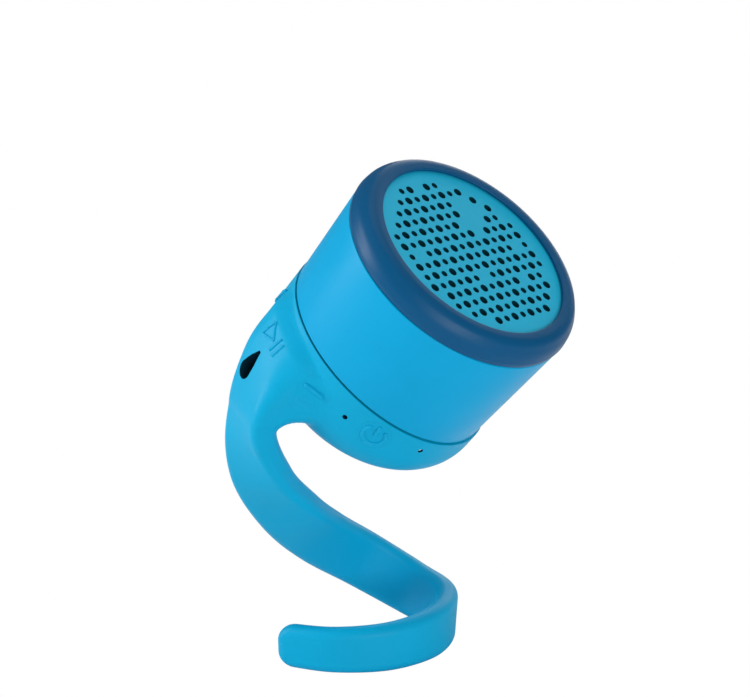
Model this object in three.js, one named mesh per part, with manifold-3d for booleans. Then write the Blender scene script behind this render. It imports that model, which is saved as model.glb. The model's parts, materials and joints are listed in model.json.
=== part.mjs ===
// A small round shower speaker in a silicone boot whose bendable tail is also its stand.
// Millimetres, +Z up. The origin is on the floor under the middle of the object's box.
import * as THREE from 'three';
import { mergeVertices } from 'three/addons/utils/BufferGeometryUtils.js';
import Module from 'manifold-3d';

const wasm = await Module();
wasm.setup();

// ---------------------------------------------------------------- driving dimensions
const seatGap = 0.3;              // between pieces that rest on each other
const runGap = 0.3;               // between pieces that move past each other
const full = 2 * Math.PI;
const bigRound = 30;              // facets round the pod
const smallRound = 16;            // facets round the driver's pieces

// pod, in its own frame: z runs from the boot's base to the grille face, +x is the tail side
const podHeight = 56;
const podTilt = 42.2;             // degrees between the pod's axis and the vertical
const podHeading = -39.9;         // degrees, where the axis leans to
const podSpin = -103.3;           // degrees, the tail side about the pod's axis
const podBase = [-5.4, 6.2, 63.6];

// boot
const bootRadius = 30.2;
const bootWall = 2;
const bootCorner = 12;
const seamHeight = 18.8;          // boot's rim at the pod's axis
const seamTilt = 8.8;             // degrees, the rim climbs on the tail side
const seamWidth = 0.5;

// housing
const seamRadius = 29.75;         // shell where it meets the boot's rim
const shellTopRadius = 31.2;
const shellTop = 50.4;
const shellWall = 2;
const wallInBoot = 1.8;
const ledgeTop = 46.5;            // the driver's flange sits here
const ledgeDepth = 3;
const gasketThickness = 0.6;
const ledgeRadius = 25;

// bezel, grille and mesh
const bezelRadius = 31.5;
const bezelMouth = 25.6;
const bezelLip = 0.9;
const bezelSkirtWall = 0.6;
const grilleThickness = 1.6;
const shoulderThickness = 1.1;    // the bezel's ledge under the plate
const grilleEdge = 1.8;           // how far the grille reaches under the lip
const meshThickness = 0.4;
const holePitch = 3.13;
const bigHole = 2;
const smallHole = 1.4;
const holeField = 23.6;
const gridTurn = 12.3;            // degrees
const gridShift = [1.8, 1.5];     // from the grille's centre to the grid's own zero
// grid places with no hole: a bare patch, then single ones over the supports behind
const barePatch = [[-4, -3], [-3, -3], [-2, -3], [-5, -4], [-4, -4], [-3, -4], [-4, -5], [-3, -5]];
const overSupports = [
  [-7, 3], [-4, 3], [0, 2], [-6, 0], [5, -1], [-3, -2], [-7, -3], [-6, -5], [-5, -6], [-4, -7], [-3, -7],
  [0, -7], [3, -7],
];

// driver
const flangeRadius = 28;
const flangeThickness = 1.2;
const basketNeck = 15;
const basketDepth = 9.6;
const basketWall = 1;
const windowSize = [13, 4.6];     // openings in the basket's side
const magnetRadius = 15.5;
const magnetHeight = 5.2;
const plateThickness = 1.6;
const yokeThickness = 2.6;
const poleRadius = 5.9;
const formerRadius = 6.9;
const formerWall = 0.6;
const coneRadius = 17.5;
const coneDepth = 5;
const coneWall = 0.6;
const rollWidth = 5.6;
const softWall = 0.4;             // surround and spider
const screwCircle = 26.4;
const screwRadius = 0.75;
const screwHeadRadius = 1.1;

// electronics
const boardRadius = 23.5;
const boardThickness = 1.2;
const boardHeight = 21.6;
const batterySize = [24, 33, 8];
const shieldSize = [12, 10, 2];
const connectorSize = [5, 4, 3.2];
const micSize = [1.4, 2.6, 3.2];
const ledSize = [0.9, 1.6, 1.6];
const speakerLeadRadius = 0.6;
const batteryLeadRadius = 0.5;
const keyBoardRadius = 21.4;
const keyBoardWall = 0.8;
const switchSize = 4.4;
const switchDepth = 2;

// keys: place round the boot in degrees from the tail side, and cap radius
const keyHeight = 15.9;
const keyTravel = 0.6;
const capThickness = 1.3;
const keys = [
  { name: 'play', angle: -8, radius: 4.9 },
  { name: 'volume_down', angle: 21, radius: 3.9 },
  { name: 'volume_up', angle: -37, radius: 3.9 },
  { name: 'power', angle: 55, radius: 4.3 },
];
const micAngle = 39;
const lightAngle = 80.4;
const pinholeRadius = 0.65;

// charging slot through the boot, above the tail's root
const slotAngle = -8;
const slotHeight = 6.5;
const slotLength = 10;
const slotWidth = 5;
const socketSize = [5.2, 3, 7];
const portBoardThickness = 0.8;

// tail: centreline and the direction across the strap, from inside the boot's wall to the tip
const tailRoute = [
  { at: [-17.7, -14, 83.3], across: [0.4, -0.64, -0.65] },
  { at: [-25.3, -14.3, 73.6], across: [0.42, -0.8, -0.45] },
  { at: [-30.2, -15.9, 63.2], across: [0.43, -0.88, -0.18] },
  { at: [-28.3, -11.3, 47.3], across: [0.83, -0.56, 0.05] },
  { at: [-21.7, -3.1, 34.7], across: [0.9, -0.22, 0.37] },
  { at: [-14, 8, 24.3], across: [0.74, -0.02, 0.68] },
  { at: [-3.1, 15.9, 15.2], across: [0.53, 0.1, 0.84] },
  { at: [9.7, 13.6, 8.1], across: [0.35, 0.07, 0.94] },
  { at: [18, 1.6, 6.85], across: [0.1, 0, 1] },
  { at: [15.4, -12.4, 6.4], across: [0, 0, 1] },
  { at: [4.5, -22.3, 6], across: [0, 0, 1] },
  { at: [-9.7, -24, 5.55], across: [0, 0, 1] },
  { at: [-24, -18.9, 5.15], across: [0, 0, 1] },
];
const strapWidth = 19.6;
const tipWidth = 10.9;
const strapThickness = 7.2;
const tipThickness = 5;
const strapEdge = 2.5;            // rounding of the strap's edges
const rootNarrowing = 6;          // how much narrower the strap is inside the boot's wall
const rootBlend = 24;
const tipRound = 4.5;
const rootRun = 35;               // boot wall to the first bend
const links = 6;
const coreRadius = 1.1;
const stepLength = 5;             // of the facets along the strap

// ---------------------------------------------------------------- solids
function weld(geometry) {
  const bare = geometry.clone();
  bare.deleteAttribute('normal');
  bare.deleteAttribute('uv');
  const merged = mergeVertices(bare, 1e-4);
  const index = merged.index.array;
  const kept = [];
  for (let i = 0; i < index.length; i += 3) {
    const [a, b, c] = [index[i], index[i + 1], index[i + 2]];
    if (a !== b && b !== c && c !== a) kept.push(a, b, c);
  }
  const p = merged.attributes.position;
  const [u, v, w] = [new THREE.Vector3(), new THREE.Vector3(), new THREE.Vector3()];
  let volume = 0;
  for (let i = 0; i < kept.length; i += 3) {
    u.fromBufferAttribute(p, kept[i]);
    v.fromBufferAttribute(p, kept[i + 1]);
    w.fromBufferAttribute(p, kept[i + 2]);
    volume += u.dot(v.cross(w));
  }
  if (volume < 0) kept.reverse();
  merged.setIndex(kept);
  return merged;
}

function solid(geometry) {
  const welded = weld(geometry);
  return new wasm.Manifold(new wasm.Mesh({
    numProp: 3,
    vertProperties: new Float32Array(welded.attributes.position.array),
    triVerts: new Uint32Array(welded.index.array),
  }));
}

function shapeOf(manifold) {
  const mesh = manifold.getMesh();
  const geometry = new THREE.BufferGeometry();
  const positions = new Float32Array(mesh.numVert * 3);
  for (let i = 0; i < mesh.numVert; i += 1) {
    for (let k = 0; k < 3; k += 1) positions[3 * i + k] = mesh.vertProperties[i * mesh.numProp + k];
  }
  geometry.setAttribute('position', new THREE.BufferAttribute(positions, 3));
  geometry.setIndex(new THREE.BufferAttribute(new Uint32Array(mesh.triVerts), 1));
  return geometry;
}

const join = (...pieces) => pieces.reduce((a, b) => a.add(b));
const cut = (piece, ...tools) => tools.reduce((a, b) => a.subtract(b), piece);

// a profile of [radius, height] points turned about the z axis
function turned(profile, segments = smallRound) {
  const points = profile.map(([r, z]) => new THREE.Vector2(r, z));
  const closed = profile[0][0] === 0 && profile[profile.length - 1][0] === 0;
  if (!closed) points.push(points[0].clone());
  return new THREE.LatheGeometry(points, segments).rotateX(Math.PI / 2);
}

const disc = (radius, low, high, segments) =>
  turned([[0, low], [radius, low], [radius, high], [0, high]], segments);
const ring = (inner, outer, low, high, segments) =>
  turned([[inner, low], [outer, low], [outer, high], [inner, high]], segments);

// points of a quarter round from heading down to heading out, about a centre
function quarterRound(radius, centreRadius, centreHeight, steps = 4) {
  const points = [];
  for (let i = 0; i <= steps; i += 1) {
    const a = (Math.PI / 2) * (i / steps);
    points.push([centreRadius + radius * Math.sin(a), centreHeight - radius * Math.cos(a)]);
  }
  return points;
}

const radians = THREE.MathUtils.degToRad;

// turns a piece drawn along +x to the given angle round the pod's axis
const roundPod = (geometry, angle, height = 0) =>
  geometry.rotateZ(radians(angle)).translate(0, 0, height);

// a cylinder along +x between two radii
function radialPin(radius, from, to, segments = 12) {
  return new THREE.CylinderGeometry(radius, radius, to - from, segments)
    .rotateZ(Math.PI / 2).translate((from + to) / 2, 0, 0);
}

function radialBox(from, to, across, tall) {
  return new THREE.BoxGeometry(to - from, across, tall).translate((from + to) / 2, 0, 0);
}

// ---------------------------------------------------------------- materials
const finish = (color, roughness, metalness = 0) =>
  new THREE.MeshStandardMaterial({ color, roughness, metalness });
const look = {
  shell: finish(0x12a5d6, 0.42),
  boot: finish(0x08a0d2, 0.6),
  bezel: finish(0x005f9b, 0.35),
  grille: finish(0x2fb4d7, 0.4),
  mesh: finish(0x10161c, 0.8),
  steel: finish(0xa9adb2, 0.35, 0.9),
  magnet: finish(0x2b2c2f, 0.6),
  paper: finish(0x1b1d20, 0.75),
  rubber: finish(0x17191b, 0.7),
  copper: finish(0xb4693a, 0.4, 0.8),
  board: finish(0x0d4f2e, 0.5),
  plastic: finish(0x1d1f22, 0.5),
  battery: finish(0x9aa1a8, 0.35, 0.5),
  foam: finish(0x2a2d30, 0.9),
  lead: finish(0xa3211c, 0.5),
  light: finish(0xe8edf0, 0.3),
};

const pod = new THREE.Group();
const stand = new THREE.Group();
function place(name, geometry, material, group = pod) {
  const mesh = new THREE.Mesh(weld(geometry), material);
  mesh.name = name;
  group.add(mesh);
}

const tailSide = new THREE.Matrix4()
  .makeTranslation(...podBase)
  .multiply(new THREE.Matrix4().makeRotationZ(radians(podHeading)))
  .multiply(new THREE.Matrix4().makeRotationY(radians(podTilt)))
  .multiply(new THREE.Matrix4().makeRotationZ(radians(podSpin)));
tailSide.decompose(pod.position, pod.quaternion, pod.scale);
const intoPod = tailSide.clone().invert();

// ---------------------------------------------------------------- housing
const bootInner = bootRadius - bootWall;
const housingRadius = bootInner - seatGap;
const housingBase = bootWall + seatGap;
const housingCorner = bootCorner - bootWall - seatGap;
const cavityRadius = housingRadius - wallInBoot;
const cavityFloor = housingBase + wallInBoot;
const cavityCorner = housingCorner - wallInBoot;
const cornerCentre = bootRadius - bootCorner;
const cornerHeight = bootCorner;
const shellInner = shellTopRadius - shellWall - 0.9;
const mouthRadius = shellTopRadius - shellWall - 0.3;

// everything above the slanted rim line, moved up or down by an offset
function aboveSeam(offset) {
  const size = 4 * podHeight;
  return solid(new THREE.BoxGeometry(size, size, size)
    .translate(0, 0, size / 2)
    .rotateY(-radians(seamTilt))
    .translate(0, 0, seamHeight + offset));
}

function makeHousing() {
  const shellSlope = (shellTopRadius - seamRadius) / (shellTop - seamHeight);
  const low = seamHeight - cornerHeight;
  const upper = solid(turned([
    [0, low], [seamRadius - shellSlope * cornerHeight, low], [shellTopRadius, shellTop], [0, shellTop],
  ], bigRound));
  const lower = solid(turned([
    [0, housingBase], ...quarterRound(housingCorner, cornerCentre, cornerHeight),
    [housingRadius, ledgeTop], [0, ledgeTop],
  ], bigRound));
  const cavity = solid(turned([
    [0, cavityFloor], ...quarterRound(cavityCorner, cornerCentre, cornerHeight),
    [cavityRadius, boardHeight + 4], [shellInner, boardHeight + 8],
    [shellInner, ledgeTop - ledgeDepth - 3], [ledgeRadius, ledgeTop - ledgeDepth], [ledgeRadius, ledgeTop],
    [mouthRadius, ledgeTop], [mouthRadius, shellTop + 1], [0, shellTop + 1],
  ], bigRound));
  let housing = cut(join(upper.intersect(aboveSeam(seamWidth / 2)), lower), cavity);
  for (const angle of boardBossAngles) housing = join(housing, bossUnderBoard(angle));
  for (const angle of keyBoardEnds) housing = join(housing, keyBoardPost(angle));
  for (const side of [-1, 1]) housing = join(housing, yokePad(side));
  for (const key of keys) housing = cut(housing, wallHole(stemRadius + runGap, key.angle, keyHeight));
  housing = cut(housing, wallHole(pinholeRadius, micAngle, keyHeight));
  housing = cut(housing, wallHole(lightGuideRadius + seatGap, lightAngle, keyHeight));
  const socketHole = radialBox(socketStart - seatGap, bootRadius,
    socketSize[1] + 2 * seatGap, socketSize[2] + 2 * seatGap);
  housing = cut(housing, solid(roundPod(socketHole, slotAngle, socketHeight)));
  for (const angle of screwAngles) {
    const pilot = new THREE.CylinderGeometry(screwRadius + seatGap, screwRadius + seatGap, screwLength, 10)
      .rotateX(Math.PI / 2).translate(screwCircle, 0, ledgeTop + 0.5 - screwLength / 2 + seatGap);
    housing = cut(housing, solid(pilot.rotateZ(radians(angle))));
  }
  place('housing', shapeOf(housing), look.shell);
}

const wallHole = (radius, angle, height) =>
  solid(roundPod(radialPin(radius, cavityRadius - 6, bootRadius + 6), angle, height));

const bossAcross = 5;
const boardBossAngles = [115, 190, 270];
function bossUnderBoard(angle) {
  const tall = 4;
  const from = boardRadius - 3;
  return solid(roundPod(radialBox(from, housingRadius - 0.5, bossAcross, tall), angle,
    boardHeight - seatGap - tall / 2));
}

const keyBoardHeight = 8.4;
const keyBoardEnds = [-55, 93];
function keyBoardPost(angle) {
  const from = keyBoardRadius + keyBoardWall + seatGap;
  return solid(roundPod(radialBox(from, housingRadius - 0.5, 3.4, keyBoardHeight - 1), angle, keyHeight));
}

// two shelves that carry the battery's ends
function yokePad(side) {
  const [across, long] = batterySize;
  return solid(new THREE.BoxGeometry(across * 0.6, 4, batteryBase - seatGap - cavityFloor + 0.5)
    .translate(0, side * (long / 2 - 3.5), (batteryBase - seatGap + cavityFloor - 0.5) / 2));
}

// ---------------------------------------------------------------- bezel, grille, acoustic mesh
const lipUnder = podHeight + seatGap;
const grilleRadius = bezelMouth + grilleEdge;
const grilleUnder = podHeight - grilleThickness;
const shoulderTop = grilleUnder - seatGap;
const shoulderUnder = shoulderTop - shoulderThickness;
const bezelBase = shellTop + seatGap;
const flangeTop = ledgeTop + 2 * seatGap + gasketThickness + flangeThickness;
const skirtOuter = mouthRadius - seatGap;

function makeBezel() {
  const groove = grilleRadius + seatGap;
  const skirtInner = skirtOuter - bezelSkirtWall;
  const crown = lipUnder + bezelLip;
  place('bezel_ring', turned([
    [bezelMouth, lipUnder], [groove, lipUnder], [groove, shoulderTop], [bezelMouth + 0.6, shoulderTop],
    [bezelMouth + 0.6, shoulderUnder], [skirtInner, shoulderUnder], [skirtInner, flangeTop + seatGap],
    [skirtOuter, flangeTop + seatGap], [skirtOuter, bezelBase], [shellTopRadius + 0.1, bezelBase],
    [bezelRadius, bezelBase + 1], [bezelRadius - 0.4, bezelBase + 3.1], [bezelRadius - 1.9, crown - 0.9],
    [bezelRadius - 3.9, crown], [bezelMouth + 0.8, crown - 0.1], [bezelMouth, crown - 0.5],
  ], bigRound), look.bezel);
}

// the plate's holes: a square grid of big and small ones in turn
function grilleHoles() {
  const holes = [];
  const reach = Math.ceil((holeField + Math.hypot(...gridShift)) / holePitch);
  const turn = radians(gridTurn);
  for (let i = -reach; i <= reach; i += 1) {
    for (let j = -reach; j <= reach; j += 1) {
      const spot = new THREE.Vector2(i, j).multiplyScalar(holePitch)
        .rotateAround(new THREE.Vector2(), turn).add(new THREE.Vector2(...gridShift));
      const bare = [...barePatch, ...overSupports].some(([a, b]) => a === i && b === j);
      if (bare || spot.length() > holeField - bigHole / 2) continue;
      holes.push({ x: spot.x, y: spot.y, size: (i + j) % 2 === 0 ? bigHole : smallHole });
    }
  }
  return holes;
}

function makeGrille() {
  const plate = new THREE.Shape().absarc(0, 0, grilleRadius, 0, full);
  for (const { x, y, size } of grilleHoles()) {
    const hole = new THREE.Path();
    const r = size / 2;
    hole.moveTo(x + r, y).lineTo(x, y + r).lineTo(x - r, y).lineTo(x, y - r).closePath();
    plate.holes.push(hole);
  }
  const geometry = new THREE.ExtrudeGeometry(plate, {
    depth: grilleThickness, bevelEnabled: false, curveSegments: bigRound,
  });
  place('grille', geometry.translate(0, 0, grilleUnder), look.grille);
}

function makeMesh() {
  const top = shoulderUnder - seatGap;
  const radius = skirtOuter - bezelSkirtWall - seatGap;
  place('acoustic_mesh', disc(radius, top - meshThickness, top, bigRound), look.mesh);
}

// ---------------------------------------------------------------- driver
const flangeUnder = flangeTop - flangeThickness;
const screwAngles = [45, 135, 225, 315];
const screwLength = 4;
const formerInner = formerRadius - formerWall;
const coneTop = flangeTop + 1;
const coneNeckHeight = coneTop - coneDepth;
const neckRadius = formerRadius + seatGap;
const rollInner = coneRadius + runGap;
const rollOuter = rollInner + rollWidth;
const basketMouth = rollOuter - 0.4;
const basketFloor = flangeUnder - basketDepth;
const plateTop = basketFloor - seatGap;
const plateUnder = plateTop - plateThickness;
const magnetTop = plateUnder - seatGap;
const magnetUnder = magnetTop - magnetHeight;
const yokeTop = magnetUnder - seatGap;
const gapRadius = formerRadius + 0.5;
const yokeRadius = magnetRadius - 0.7;

function makeDriver() {
  place('driver_gasket', ring(ledgeRadius, screwCircle - screwRadius - 0.4, ledgeTop + seatGap,
    ledgeTop + seatGap + gasketThickness, bigRound), look.rubber);

  let basket = solid(turned([
    [basketMouth, flangeTop], [basketMouth, flangeUnder], [basketNeck - basketWall, basketFloor + 1.2],
    [gapRadius + 1, basketFloor + 1.2], [gapRadius + 1, basketFloor], [basketNeck, basketFloor],
    [basketMouth + basketWall, flangeUnder - 0.2],
    [basketMouth + basketWall + 0.6, flangeUnder],
    [flangeRadius, flangeUnder], [flangeRadius, flangeTop],
  ], 28));
  for (const angle of [0, 90, 180, 270]) {
    const window = radialBox(basketNeck - 2, basketMouth + 3, ...windowSize);
    basket = cut(basket, solid(roundPod(window, angle, flangeUnder - 4.2)));
  }
  for (const angle of screwAngles) {
    const hole = new THREE.CylinderGeometry(screwRadius + seatGap, screwRadius + seatGap, 4, 10)
      .rotateX(Math.PI / 2).translate(screwCircle, 0, flangeTop);
    basket = cut(basket, solid(hole.rotateZ(radians(angle))));
  }
  place('driver_basket', shapeOf(basket), look.steel);

  screwAngles.forEach((angle, i) => {
    const head = flangeTop + seatGap;
    const screw = turned([
      [0, head - screwLength], [screwRadius, head - screwLength + 0.5], [screwRadius, head],
      [screwHeadRadius, head], [screwHeadRadius, head + 0.8], [0, head + 0.8],
    ], 10);
    place(`driver_screw_${i + 1}`, screw.translate(screwCircle, 0, 0).rotateZ(radians(angle)), look.steel);
  });

  const edge = flangeTop + seatGap;
  const roll = [];
  const rise = rollWidth / 2;
  const lap = 1.6;
  for (let i = 0; i <= 4; i += 1) {
    const a = Math.PI * (i / 4);
    roll.push([rollInner + rise - rise * Math.cos(a), edge + softWall + (rise - 0.6) * Math.sin(a)]);
  }
  const under = roll.map(([r, z]) => [r, z - softWall]).reverse();
  place('surround', turned([
    ...roll, [rollOuter + lap, edge + softWall], [rollOuter + lap, edge], ...under,
  ]), look.rubber);

  place('cone', turned([
    [coneRadius, coneTop], [coneRadius - 0.9, coneTop], [neckRadius + 0.7, coneNeckHeight + coneWall],
    [neckRadius, coneNeckHeight + coneWall], [neckRadius, coneNeckHeight],
    [neckRadius + 0.9, coneNeckHeight],
    [coneRadius - 0.5, coneTop - coneWall], [coneRadius, coneTop - coneWall],
  ]), look.paper);

  const capBase = coneNeckHeight + 0.4;
  place('dust_cap', turned([
    [0, capBase + 2.2], [formerInner * 0.5, capBase + 1.8], [formerInner * 0.85, capBase + 0.9],
    [formerRadius, capBase], [formerRadius - 0.6, capBase], [formerInner * 0.8, capBase + 0.5],
    [formerInner * 0.45, capBase + 1.4], [0, capBase + 1.8],
  ]), look.paper);

  place('voice_coil', ring(formerInner, formerRadius, plateUnder - 0.6, capBase - seatGap), look.copper);

  const spiderHeight = basketFloor + 3.6;
  const spiderOuter = basketNeck + 0.8;
  const waves = 3;
  const crest = [];
  for (let i = 0; i <= 2 * waves; i += 1) {
    const r = neckRadius + ((spiderOuter - neckRadius) * i) / (2 * waves);
    crest.push([r, spiderHeight + (i % 2 === 0 ? 0 : 0.5)]);
  }
  place('spider', turned([...crest, ...crest.map(([r, z]) => [r, z - softWall]).reverse()]), look.paper);

  place('top_plate', ring(gapRadius, basketNeck - 0.5, plateUnder, plateTop), look.steel);
  place('magnet', ring(gapRadius + 0.8, magnetRadius, magnetUnder, magnetTop), look.magnet);
  place('yoke', turned([
    [0, yokeTop - yokeThickness], [yokeRadius, yokeTop - yokeThickness], [yokeRadius, yokeTop],
    [poleRadius, yokeTop], [poleRadius, plateTop], [0, plateTop],
  ]), look.steel);
}

// ---------------------------------------------------------------- electronics
const batteryBase = cavityFloor + 1.8;
const socketHeight = slotHeight + 1.5;
const socketStart = 18.2;

function makeElectronics() {
  const boardTop = boardHeight + boardThickness;
  place('main_board', disc(boardRadius, boardHeight, boardTop, bigRound), look.board);
  place('radio_shield', new THREE.BoxGeometry(...shieldSize)
    .translate(-2, 0, boardTop + seatGap + shieldSize[2] / 2), look.steel);
  const connector = () => new THREE.BoxGeometry(...connectorSize)
    .translate(0, 0, boardTop + seatGap + connectorSize[2] / 2);
  place('speaker_connector', connector().translate(13, 8, 0), look.plastic);
  place('battery_connector', connector().translate(-8, -11, 0), look.plastic);

  const [across, long, tall] = batterySize;
  const cell = new THREE.BoxGeometry(across, long, tall);
  place('battery', cell.translate(0, 0, batteryBase + tall / 2), look.battery);
  const padTop = boardHeight - seatGap;
  const padLow = batteryBase + tall + seatGap;
  place('battery_pad', new THREE.BoxGeometry(across * 0.7, long * 0.6, padTop - padLow)
    .translate(-2, 0, (padTop + padLow) / 2), look.foam);

  const arc = new THREE.Shape();
  const [from, to] = [radians(keyBoardEnds[0] - 2), radians(keyBoardEnds[1] + 2)];
  arc.absarc(0, 0, keyBoardRadius + keyBoardWall, from, to, false);
  arc.absarc(0, 0, keyBoardRadius, to, from, true);
  const strip = new THREE.ExtrudeGeometry(arc, {
    depth: keyBoardHeight, bevelEnabled: false, curveSegments: 18,
  }).translate(0, 0, keyHeight - keyBoardHeight / 2);
  const relief = roundPod(radialBox(keyBoardRadius - 2, keyBoardRadius + 2, socketSize[1] + 1.2,
    socketSize[2] + 1.2), slotAngle, socketHeight);
  place('key_board', shapeOf(cut(solid(strip), solid(relief))), look.board);

  const micFrom = keyBoardRadius + keyBoardWall + seatGap;
  const onKeyBoard = ([deep, wide, high], angle) =>
    roundPod(radialBox(micFrom, micFrom + deep, wide, high), angle, keyHeight);
  place('microphone', onKeyBoard(micSize, micAngle), look.steel);
  place('status_led', onKeyBoard(ledSize, lightAngle), look.light);
  const guideFrom = micFrom + ledSize[0] + seatGap;
  place('light_guide', roundPod(radialPin(lightGuideRadius, guideFrom, bootRadius - 0.4, 10),
    lightAngle, keyHeight), look.light);

  const [deep, wide, high] = socketSize;
  const shellBox = solid(radialBox(socketStart, socketStart + deep, wide, high));
  const mouth = solid(radialBox(socketStart + 1.2, socketStart + deep + 1, wide - 0.9, high - 0.9));
  const tongue = solid(radialBox(socketStart + 1, socketStart + deep - 1, 0.6, high - 2.6));
  const socket = join(cut(shellBox, mouth), tongue);
  place('charge_socket', roundPod(shapeOf(socket), slotAngle, socketHeight), look.steel);
  const back = socketStart - seatGap;
  const foot = cavityFloor + seatGap;
  const head = socketHeight + high / 2 + 1;
  place('port_board', roundPod(radialBox(back - portBoardThickness, back, 10, head - foot), slotAngle,
    (head + foot) / 2), look.board);
}

// ---------------------------------------------------------------- leads held inside the pod
function makeLead(name, points, radius) {
  const path = new THREE.CatmullRomCurve3(points.map((p) => new THREE.Vector3(...p)));
  const section = new THREE.Shape().absarc(0, 0, radius, 0, full);
  const lead = new THREE.ExtrudeGeometry(section, {
    extrudePath: path, steps: 12, bevelEnabled: false, curveSegments: 6,
  });
  place(name, lead, look.lead);
}

function makeLeads() {
  const boardTop = boardHeight + boardThickness;
  const plug = boardTop + seatGap + connectorSize[2] / 2;
  const basketSide = basketFloor + 5.4;
  makeLead('speaker_lead', [
    [15.9, 8, plug], [19, 8.6, plug + 1], [21.5, 8.4, plug + 5], [22, 6, basketSide - 2.5],
    [21.4, 3.4, basketSide],
  ], speakerLeadRadius);
  const cellTop = batteryBase + batterySize[2];
  makeLead('battery_lead', [
    [-5, -batterySize[1] / 2 - 0.3, cellTop - 3], [-5.2, -20, cellTop - 2.8], [-6, -23.6, cellTop],
    [-7, -24, boardHeight - 3], [-7.4, -23.9, boardTop + 1], [-8, -21, boardTop + 2.6], [-8, -16, plug + 0.4],
    [-8, -13.4, plug],
  ], batteryLeadRadius);
}

// ---------------------------------------------------------------- keys
const stemRadius = 1.3;
const plungerRadius = 1;
const lightGuideRadius = 0.45;
const capUnder = bootRadius - capThickness;

function makeKeys() {
  const outside = solid(ring(bootRadius, bootRadius + 8, 0, podHeight, 96));
  for (const { name, angle, radius } of keys) {
    const switchFrom = keyBoardRadius + keyBoardWall + seatGap;
    const switchTo = switchFrom + switchDepth;
    const plungerFrom = switchFrom + seatGap + keyTravel + 0.3;
    const plungerTo = switchTo + 1.1;
    const body = cut(solid(radialBox(switchFrom, switchTo, switchSize, switchSize)),
      solid(radialPin(plungerRadius + runGap, switchFrom + 0.3, switchTo + 1)));
    place(`switch_${name}`, roundPod(shapeOf(body), angle, keyHeight), look.plastic);
    const plunger = radialPin(plungerRadius, plungerFrom, plungerTo);
    place(`plunger_${name}`, roundPod(plunger, angle, keyHeight), look.light);
    const cap = solid(roundPod(radialPin(radius, capUnder, bootRadius + 2, 20), angle, keyHeight));
    const stem = solid(roundPod(radialPin(stemRadius, plungerTo + seatGap, capUnder + 0.4),
      angle, keyHeight));
    place(`key_${name}`, shapeOf(join(cut(cap, outside), stem)), look.boot);
  }
}

// ---------------------------------------------------------------- tail
const tailCurve = new THREE.CatmullRomCurve3(
  tailRoute.map(({ at }) => new THREE.Vector3(...at)), false, 'centripetal');
tailCurve.arcLengthDivisions = 600;
const acrossCurve = new THREE.CatmullRomCurve3(
  tailRoute.map(({ across }) => new THREE.Vector3(...across)), false, 'centripetal');
const tailLength = tailCurve.getLength();
const linkLength = (tailLength - rootRun) / links;

// centre and directions of the strap at a run along it
function tailFrame(run) {
  const u = THREE.MathUtils.clamp(run / tailLength, 0, 1);
  const centre = tailCurve.getPointAt(u);
  const along = tailCurve.getTangentAt(u);
  const t = tailCurve.getUtoTmapping(u, 0);
  const across = acrossCurve.getPoint(t);
  across.addScaledVector(along, -across.dot(along)).normalize();
  return { centre, along, across, face: along.clone().cross(across) };
}

// strap section at a run: taper, narrow root in the boot's wall and rounded tip
function strapSize(run) {
  const share = run / tailLength;
  const narrowing = rootNarrowing * THREE.MathUtils.smoothstep(rootBlend - run, 0, rootBlend);
  const toTip = tailLength - run;
  const drop = (round) => {
    const into = Math.max(0, round - toTip);
    return round - Math.sqrt(Math.max(0, round * round - into * into));
  };
  const width = THREE.MathUtils.lerp(strapWidth, tipWidth, share) - narrowing - 1.7 * drop(tipRound);
  const thickness = THREE.MathUtils.lerp(strapThickness, tipThickness, share) - 1.5 * drop(tipThickness / 2);
  return { width, thickness, edge: Math.min(strapEdge, 0.42 * thickness) };
}

// bends a straight extrusion of unit depth along the strap between two runs
function alongTail(section, from, to, spread) {
  const steps = Math.max(1, Math.round((to - from) / stepLength)) + (to > tailLength - tipRound ? 3 : 0);
  const geometry = new THREE.ExtrudeGeometry(section, {
    depth: 1, steps, bevelEnabled: false, curveSegments: 2,
  });
  const p = geometry.attributes.position;
  for (let i = 0; i < p.count; i += 1) {
    const atTip = to > tailLength - tipRound;
    const share = atTip ? Math.sin((Math.PI / 2) * p.getZ(i)) : p.getZ(i);   // short facets round the tip
    const run = THREE.MathUtils.lerp(from, to, share);
    const { centre, across, face } = tailFrame(run);
    const [x, y] = spread(p.getX(i), p.getY(i), run);
    centre.addScaledVector(across, x).addScaledVector(face, y);
    p.setXYZ(i, centre.x, centre.y, centre.z);
  }
  return geometry;
}

// a square of half size 2 with corners of radius 1: its corners become the strap's edges
const cornerPattern = new THREE.Shape();
cornerPattern.absarc(1, 1, 1, 0, Math.PI / 2).absarc(-1, 1, 1, Math.PI / 2, Math.PI)
  .absarc(-1, -1, 1, Math.PI, 1.5 * Math.PI).absarc(1, -1, 1, 1.5 * Math.PI, full);
const strap = (from, to) => alongTail(cornerPattern, from, to, (x, y, run) => {
  const { width, thickness, edge } = strapSize(run);
  const out = (v, half) => Math.sign(v) * (half - edge + edge * (Math.abs(v) - 1));
  return [out(x, width / 2), out(y, thickness / 2)];
});
const rod = (radius, from, to) =>
  alongTail(new THREE.Shape().absarc(0, 0, radius, 0, full), from, to, (x, y) => [x, y]);

// a barrel lying across the strap at a run, with rounded or plain ends
function barrel(run, grow, rounded) {
  const { width, thickness, edge } = strapSize(run);
  const { centre, across, face, along } = tailFrame(run);
  const r = thickness / 2 + grow;
  const half = rounded ? width / 2 : width / 2 + 3;
  const roundEnd = [[r - edge, half], [r - 0.3 * edge, half - 0.3 * edge], [r, half - edge]];
  const end = rounded ? roundEnd : [[r, half]];
  const lower = end.map(([a, b]) => [a, -b]);
  const profile = [[0, -half], ...lower, ...end.reverse(), [0, half]];
  const basis = new THREE.Matrix4().makeBasis(face, along, across).setPosition(centre);
  if (basis.determinant() < 0) basis.makeBasis(along, face, across).setPosition(centre);
  return turned(profile, 16).applyMatrix4(basis);
}

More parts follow.
